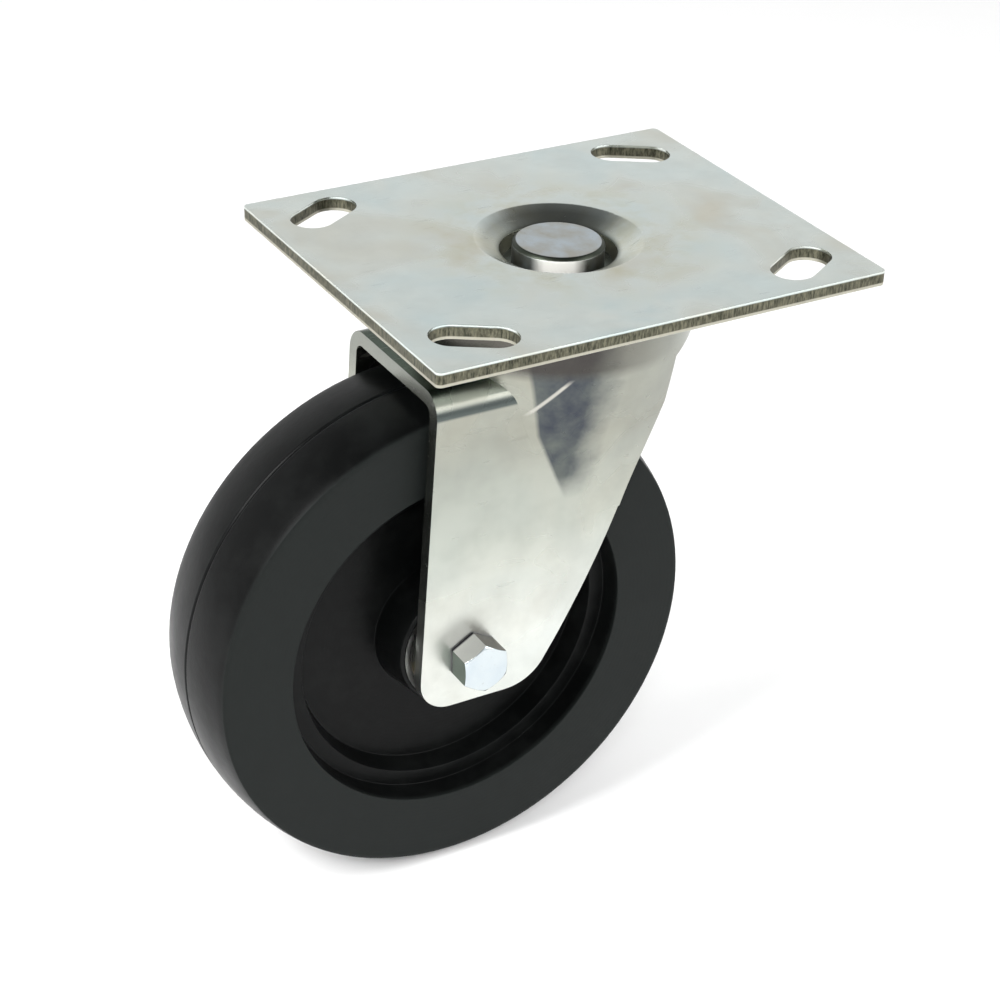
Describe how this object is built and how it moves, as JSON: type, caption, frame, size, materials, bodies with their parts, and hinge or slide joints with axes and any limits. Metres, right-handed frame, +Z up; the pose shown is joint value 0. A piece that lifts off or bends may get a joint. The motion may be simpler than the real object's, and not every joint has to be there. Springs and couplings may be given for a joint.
{
  "type": "swivel plate caster wheel",
  "caption": "Swivel plate caster for the foot of a gate: slotted square-cornered mounting plate, ball race round a kingpin, pressed steel fork, bolted axle and solid black wheel.",
  "frame": {"origin": "centre of the mounting plate's top face, on the kingpin's axis", "axes": "+Z up, out of the plate's top face and along the kingpin; +X along the plate's long side, away from the side the wheel trails to; Y along the axle at rest, with the bolt's head at -Y"},
  "size_m": [0.1523, 0.0952, 0.1556],
  "materials": {
    "zinc_plate": "bright zinc plated pressed steel",
    "zinc_pin": "zinc plated steel rivet",
    "race_steel": "zinc plated hardened pressing",
    "ball_steel": "polished bearing steel",
    "zinc_fork": "bright zinc plated pressed steel",
    "zinc_bolt": "zinc plated fastener",
    "zinc_washer": "zinc plated washer",
    "nut_insert": "nylon locking ring",
    "bushing_steel": "ground steel tube",
    "sleeve_steel": "hardened steel sleeve",
    "cage_steel": "pressed steel cage",
    "roller_steel": "ground steel rollers",
    "wheel_rubber": "hard moulded rubber, satin"
  },
  "bodies": {
    "plate": {"top_plate": "zinc_plate", "kingpin": "zinc_pin", "kingpin_washer": "zinc_washer", "lower_race": "race_steel"},
    "upper_ball_row": {"upper_balls": "ball_steel"},
    "lower_ball_row": {"lower_balls": "ball_steel"},
    "fork": {"fork": "zinc_fork", "axle_bolt": "zinc_bolt", "nut_washer": "zinc_washer", "lock_nut": "zinc_bolt", "nut_insert": "nut_insert", "axle_bushing": "bushing_steel", "near_thrust_washer": "zinc_washer", "far_thrust_washer": "zinc_washer"},
    "rollers": {"roller_cage": "cage_steel", "bearing_rollers": "roller_steel"},
    "wheel": {"wheel": "wheel_rubber", "hub_sleeve": "sleeve_steel"}
  },
  "joints": [
    {"name": "swivel", "type": "hinge", "parent": "plate", "child": "fork", "pos_m": [0, 0, 0], "axis": [0, 0, 1], "continuous": true},
    {"name": "upper_ball_roll", "type": "hinge", "parent": "plate", "child": "upper_ball_row", "pos_m": [0, 0, 0], "axis": [0, 0, 1], "continuous": true},
    {"name": "lower_ball_roll", "type": "hinge", "parent": "plate", "child": "lower_ball_row", "pos_m": [0, 0, 0], "axis": [0, 0, 1], "continuous": true},
    {"name": "wheel_spin", "type": "hinge", "parent": "fork", "child": "wheel", "pos_m": [-0.03175, 0, -0.0921], "axis": [0, 1, 0], "continuous": true},
    {"name": "cage_spin", "type": "hinge", "parent": "fork", "child": "rollers", "pos_m": [-0.03175, 0, -0.0921], "axis": [0, 1, 0], "continuous": true}
  ],
  "couplings": [
    {"joint": "upper_ball_roll", "follows": "swivel", "ratio": 0.5},
    {"joint": "lower_ball_roll", "follows": "swivel", "ratio": 0.5},
    {"joint": "cage_spin", "follows": "wheel_spin", "ratio": 0.6164}
  ]
}
